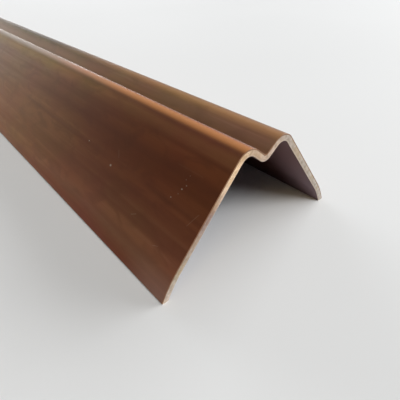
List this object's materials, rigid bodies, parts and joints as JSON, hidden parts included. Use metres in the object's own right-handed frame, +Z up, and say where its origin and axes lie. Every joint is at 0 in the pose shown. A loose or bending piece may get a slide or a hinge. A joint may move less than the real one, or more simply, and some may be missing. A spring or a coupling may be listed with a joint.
{
  "type": "pvc angle profile",
  "caption": "Rigid PVC corner profile of V section, with a groove between round beads along its corner and lips that curve in at the feet.",
  "frame": {"origin": "on the floor, midway between the feet and midway along the stock", "axes": "+Y along the stock, +Z up through the grooved corner, +X across from the left foot to the right one"},
  "size_m": [0.0496, 1, 0.024],
  "materials": {
    "foiled_pvc": "satin"
  },
  "bodies": {
    "root": {"angle_profile": "foiled_pvc"}
  },
  "joints": []
}
